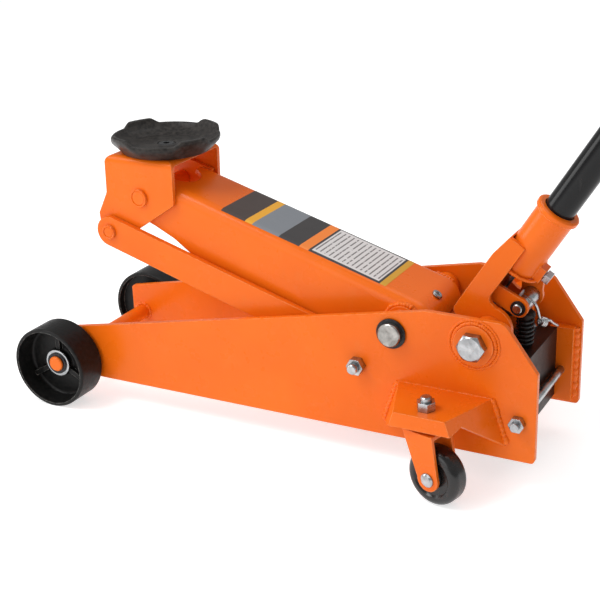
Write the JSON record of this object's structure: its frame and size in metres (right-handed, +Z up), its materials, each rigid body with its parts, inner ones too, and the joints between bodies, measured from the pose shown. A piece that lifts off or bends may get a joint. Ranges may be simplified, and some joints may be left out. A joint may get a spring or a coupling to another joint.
{
  "type": "hydraulic floor jack",
  "caption": "Low four-wheeled hydraulic floor jack: side plates carry a lift arm with a levelled turning saddle, a pump unit and a long pump handle.",
  "frame": {"origin": "on the floor, under the middle of the whole jack with its handle", "axes": "+X from the front wheels towards the handle, +Y to the user's right-hand side seen from the handle, +Z up"},
  "size_m": [1.0181, 0.261, 1.0005],
  "materials": {
    "orange_paint": "gloss",
    "black_cast": "satin",
    "black_handle": "satin",
    "zinc_steel": "satin",
    "bare_steel": "satin",
    "black_oxide": "satin",
    "dark_block": "satin",
    "spring_steel": "satin",
    "caster_plastic": "gloss",
    "grip_rubber": "matte"
  },
  "bodies": {
    "chassis": {"side_plate_left": "orange_paint", "side_plate_right": "orange_paint", "front_axle": "orange_paint", "unit_mount_bar_left": "orange_paint", "unit_mount_bar_right": "orange_paint", "caster_bracket_left": "orange_paint", "caster_bracket_right": "orange_paint", "yoke_pivot_bosses": "orange_paint", "pivot_spacers": "orange_paint", "axle_washers": "zinc_steel", "tie_rod": "zinc_steel", "chassis_nuts": "zinc_steel", "link_pivot_bolts": "zinc_steel", "yoke_pivot_bolts": "zinc_steel", "caster_studs": "zinc_steel", "caster_nuts": "zinc_steel", "filler_plug": "zinc_steel", "arm_pivot_shaft": "bare_steel", "shaft_circlips": "black_oxide", "pump_block": "dark_block", "reservoir_tube": "dark_block", "ram_cylinder": "dark_block"},
    "lift_arm": {"lift_arm": "orange_paint", "arm_pivot_boss": "orange_paint", "ram_lever": "orange_paint", "lever_pin": "zinc_steel", "grease_plug": "zinc_steel"},
    "saddle_bracket": {"saddle_bracket": "orange_paint", "bracket_pivot_pin": "orange_paint", "link_front_pins": "orange_paint"},
    "saddle": {"saddle": "black_cast", "saddle_screw": "zinc_steel", "saddle_nut": "zinc_steel"},
    "radius_links": {"radius_link_left": "orange_paint", "radius_link_right": "orange_paint"},
    "ram": {"ram_piston": "bare_steel", "ram_crosshead": "dark_block", "return_springs": "spring_steel"},
    "yoke": {"yoke_frame": "orange_paint", "handle_socket": "orange_paint", "handle_lock_bolt": "zinc_steel", "pump_roller": "zinc_steel", "roller_pin": "zinc_steel", "roller_circlips": "black_oxide"},
    "handle": {"handle_lower_tube": "black_handle", "handle_upper_tube": "black_handle", "handle_joint_button": "zinc_steel", "release_drive_rod": "zinc_steel", "handle_grip": "grip_rubber"},
    "release_valve": {"release_spindle": "zinc_steel"},
    "plunger": {"pump_plunger": "bare_steel", "plunger_spring": "spring_steel"},
    "front_wheel_left": {"front_wheel_left": "black_cast"},
    "caster_left": {"caster_fork_left": "orange_paint", "caster_axle_left": "zinc_steel"},
    "caster_wheel_left": {"caster_wheel_left": "caster_plastic"},
    "front_wheel_right": {"front_wheel_right": "black_cast"},
    "caster_right": {"caster_fork_right": "orange_paint", "caster_axle_right": "zinc_steel"},
    "caster_wheel_right": {"caster_wheel_right": "caster_plastic"}
  },
  "joints": [
    {"name": "lift", "type": "hinge", "parent": "chassis", "child": "lift_arm", "pos_m": [-0.1022, 0, 0.131], "axis": [0, 1, 0], "range_deg": [-26, 31]},
    {"name": "saddle_level", "type": "hinge", "parent": "lift_arm", "child": "saddle_bracket", "pos_m": [-0.38232, 0, 0.2152], "axis": [0, 1, 0], "range_deg": [-31, 26]},
    {"name": "link_swing", "type": "hinge", "parent": "chassis", "child": "radius_links", "pos_m": [-0.1362, 0, 0.094], "axis": [0, 1, 0], "range_deg": [-26, 31]},
    {"name": "saddle_spin", "type": "hinge", "parent": "saddle_bracket", "child": "saddle", "pos_m": [-0.3764, 0, 0.254], "axis": [0, 0, 1], "continuous": true},
    {"name": "ram_slide", "type": "slide", "parent": "chassis", "child": "ram", "axis": [-1, 0, 0], "range_m": [-0.018, 0.0213], "deforming": ["return_springs"]},
    {"name": "handle_pump", "type": "hinge", "parent": "chassis", "child": "yoke", "pos_m": [-0.0236, 0, 0.134], "axis": [0, 1, 0], "range_deg": [-15, 45]},
    {"name": "handle_twist", "type": "hinge", "parent": "yoke", "child": "handle", "pos_m": [-0.03632, 0, 0.14195], "axis": [0.5299, 0, 0.848], "range_deg": [0, 270]},
    {"name": "release_turn", "type": "hinge", "parent": "chassis", "child": "release_valve", "pos_m": [-0.0236, 0, 0.12], "axis": [0, 0, 1], "range_deg": [0, 270]},
    {"name": "plunger_stroke", "type": "slide", "parent": "chassis", "child": "plunger", "axis": [0, 0, -1], "range_m": [-0.0068, 0.0204], "deforming": ["plunger_spring"]},
    {"name": "front_wheel_left_spin", "type": "hinge", "parent": "chassis", "child": "front_wheel_left", "pos_m": [-0.4676, -0.087, 0.042], "axis": [0, 1, 0], "continuous": true},
    {"name": "caster_left_swivel", "type": "hinge", "parent": "chassis", "child": "caster_left", "pos_m": [-0.0506, -0.1095, 0.065], "axis": [0, 0, 1], "continuous": true},
    {"name": "caster_wheel_left_spin", "type": "hinge", "parent": "caster_left", "child": "caster_wheel_left", "pos_m": [-0.03805, -0.11286, 0.027], "axis": [0.2588, 0.9659, 0], "continuous": true},
    {"name": "front_wheel_right_spin", "type": "hinge", "parent": "chassis", "child": "front_wheel_right", "pos_m": [-0.4676, 0.087, 0.042], "axis": [0, 1, 0], "continuous": true},
    {"name": "caster_right_swivel", "type": "hinge", "parent": "chassis", "child": "caster_right", "pos_m": [-0.0506, 0.1095, 0.065], "axis": [0, 0, 1], "continuous": true},
    {"name": "caster_wheel_right_spin", "type": "hinge", "parent": "caster_right", "child": "caster_wheel_right", "pos_m": [-0.03805, 0.11286, 0.027], "axis": [-0.2588, 0.9659, 0], "continuous": true}
  ],
  "couplings": [
    {"joint": "saddle_level", "follows": "lift", "ratio": -1},
    {"joint": "link_swing", "follows": "lift", "ratio": 1},
    {"joint": "ram_slide", "follows": "lift", "m_per_rad": 0.0389},
    {"joint": "release_turn", "follows": "handle_twist", "ratio": 1},
    {"joint": "plunger_stroke", "follows": "handle_pump", "m_per_rad": 0.0258}
  ]
}
